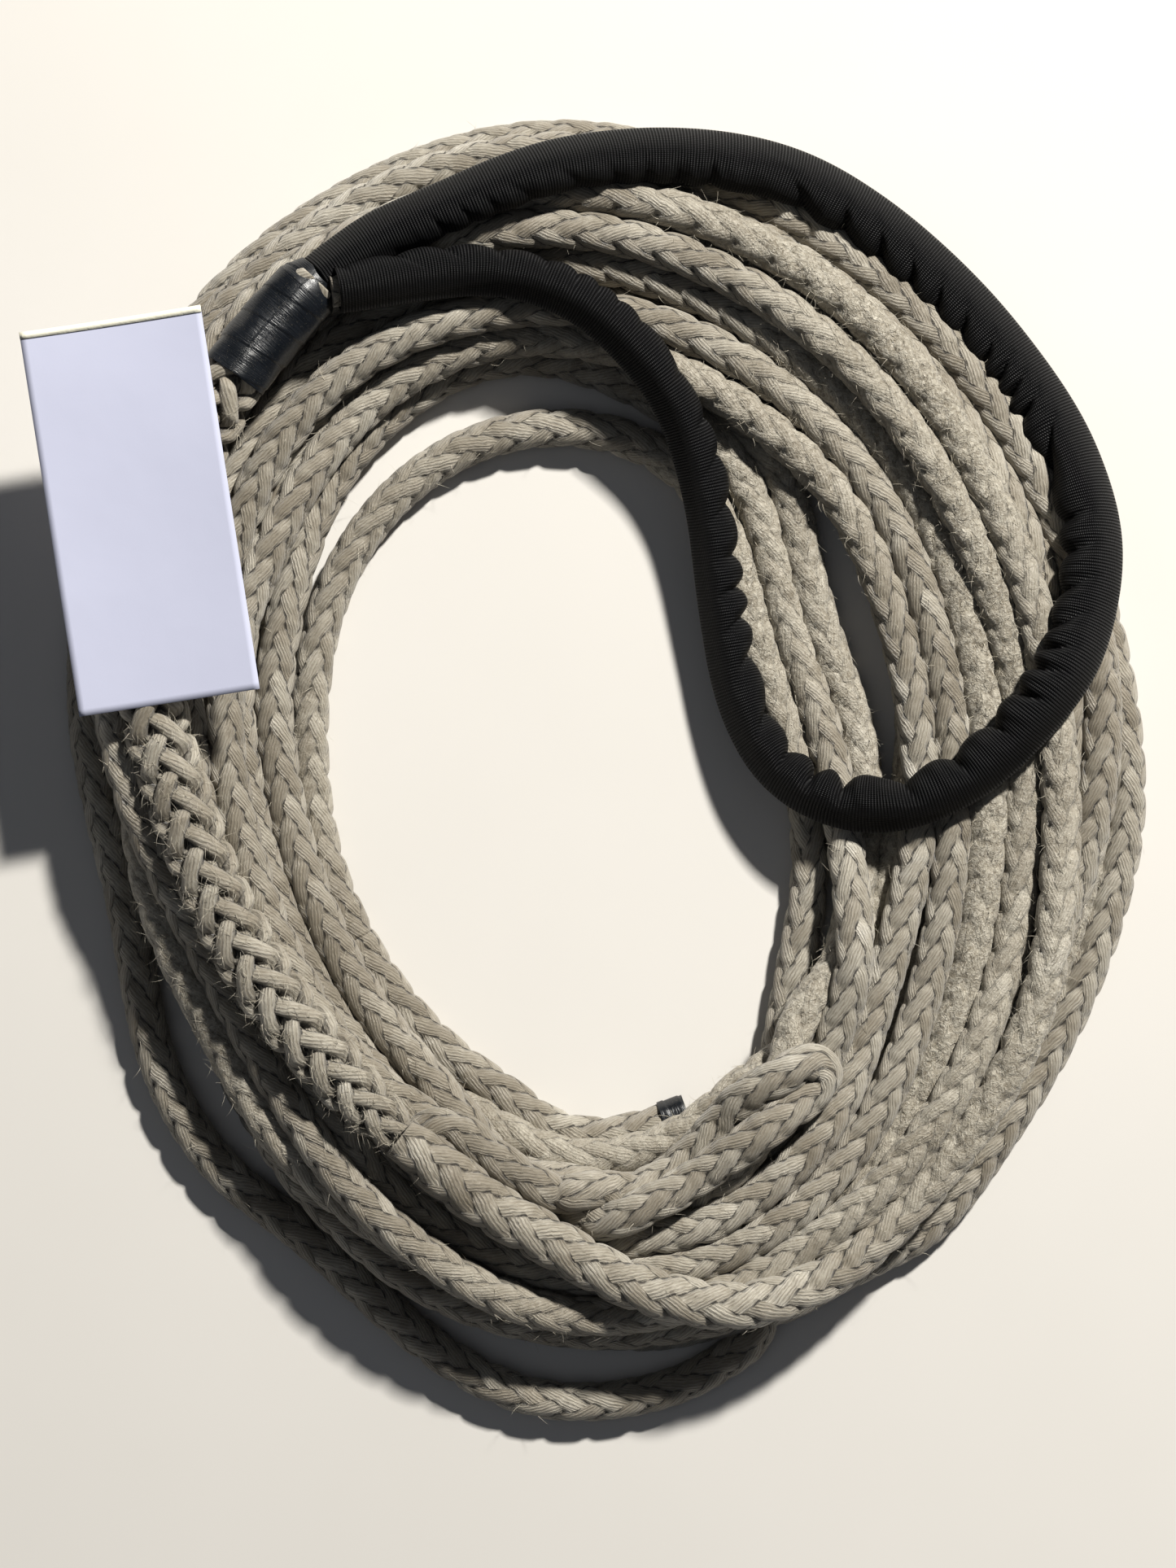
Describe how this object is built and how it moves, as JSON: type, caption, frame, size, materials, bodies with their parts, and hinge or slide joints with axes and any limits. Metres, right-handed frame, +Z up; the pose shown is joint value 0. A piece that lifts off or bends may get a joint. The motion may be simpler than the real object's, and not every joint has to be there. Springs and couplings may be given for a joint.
{
  "type": "coiled dock line",
  "caption": "Coiled 30 m mooring line of 20 mm braided rope with one spliced eye in a black chafe sleeve.",
  "frame": {"origin": "centre of the whole object's box, on the surface the coil lies on", "axes": "+Z up off the surface, +Y along the coil's longer way, +X to the right of the coil as seen from above"},
  "size_m": [0.6044, 0.7247, 0.0913],
  "materials": {
    "rope": "matte",
    "webbing": "matte",
    "tape": "glossy",
    "paper": "matte"
  },
  "bodies": {
    "coil": {"coil_turns": "rope", "inner_turn": "rope", "outer_turn": "rope", "eye_splice": "rope", "splice_taper": "rope", "throat_tape": "tape"},
    "eye": {"eye_rope": "rope", "chafe_sleeve": "webbing"},
    "tail": {"tail_rope": "rope", "end_tape": "tape"},
    "label": {"label_card": "paper"}
  },
  "joints": [
    {"name": "eye_lift", "type": "hinge", "parent": "coil", "child": "eye", "pos_m": [-0.1315, 0.2605, 0.0915], "axis": [-0.318, -0.9481, 0], "range_deg": [0, 60]},
    {"name": "tail_lift", "type": "hinge", "parent": "coil", "child": "tail", "pos_m": [-0.09634, -0.13252, 0.0212], "axis": [-0.4659, -0.8848, 0], "range_deg": [0, 50]},
    {"name": "label_lift", "type": "slide", "parent": "coil", "child": "label", "axis": [0, 0, 1], "range_m": [0, 0.12]}
  ]
}
